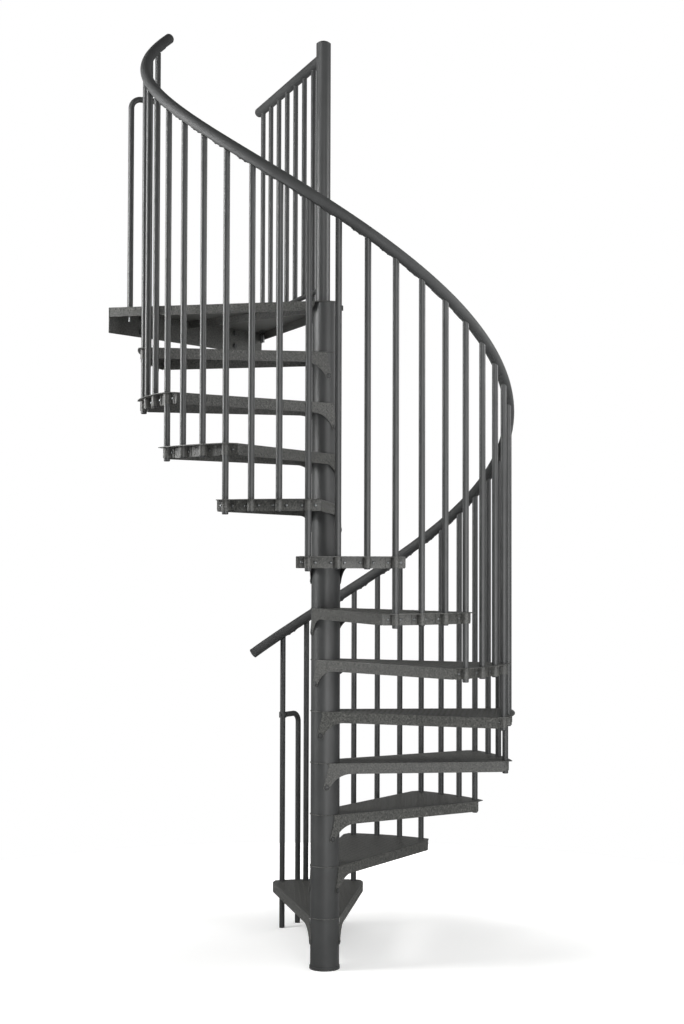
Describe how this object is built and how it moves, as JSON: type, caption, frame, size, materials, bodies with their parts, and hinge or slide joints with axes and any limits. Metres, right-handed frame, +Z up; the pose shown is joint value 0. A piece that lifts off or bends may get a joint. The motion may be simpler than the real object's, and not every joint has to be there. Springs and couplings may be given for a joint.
{
  "type": "spiral staircase",
  "caption": "Spiral staircase with folded steel treads clamped on a stacked tube column, outer balusters under a helical handrail, and a corner landing with newel and guard rail.",
  "frame": {"origin": "centre of the column's foot, on the floor", "axes": "+Z up the column, +Y out of the landing's outer edge towards the upper floor"},
  "size_m": [1.586, 1.6181, 4.0391],
  "materials": {
    "painted_steel": "satin",
    "tread_sheet": "satin",
    "handrail_pvc": "satin",
    "cap_plastic": "matte"
  },
  "bodies": {
    "root": {"baluster_straps": "painted_steel", "balusters_01": "painted_steel", "balusters_02": "painted_steel", "balusters_03": "painted_steel", "balusters_04": "painted_steel", "balusters_05": "painted_steel", "balusters_06": "painted_steel", "balusters_07": "painted_steel", "balusters_08": "painted_steel", "balusters_09": "painted_steel", "balusters_10": "painted_steel", "balusters_11": "painted_steel", "balusters_12": "painted_steel", "brace_rings": "painted_steel", "column_foot": "painted_steel", "column_tubes": "painted_steel", "first_baluster": "painted_steel", "handrail": "handrail_pvc", "landing_balusters": "painted_steel", "landing_deck": "tread_sheet", "landing_foot_rail": "painted_steel", "landing_rail": "handrail_pvc", "lower_brace": "painted_steel", "newel_cap": "cap_plastic", "newel_post": "painted_steel", "rail_caps": "cap_plastic", "tread_01": "tread_sheet", "tread_02": "tread_sheet", "tread_03": "tread_sheet", "tread_04": "tread_sheet", "tread_05": "tread_sheet", "tread_06": "tread_sheet", "tread_07": "tread_sheet", "tread_08": "tread_sheet", "tread_09": "tread_sheet", "tread_10": "tread_sheet", "tread_11": "tread_sheet", "tread_12": "tread_sheet", "upper_brace": "painted_steel"}
  },
  "joints": []
}
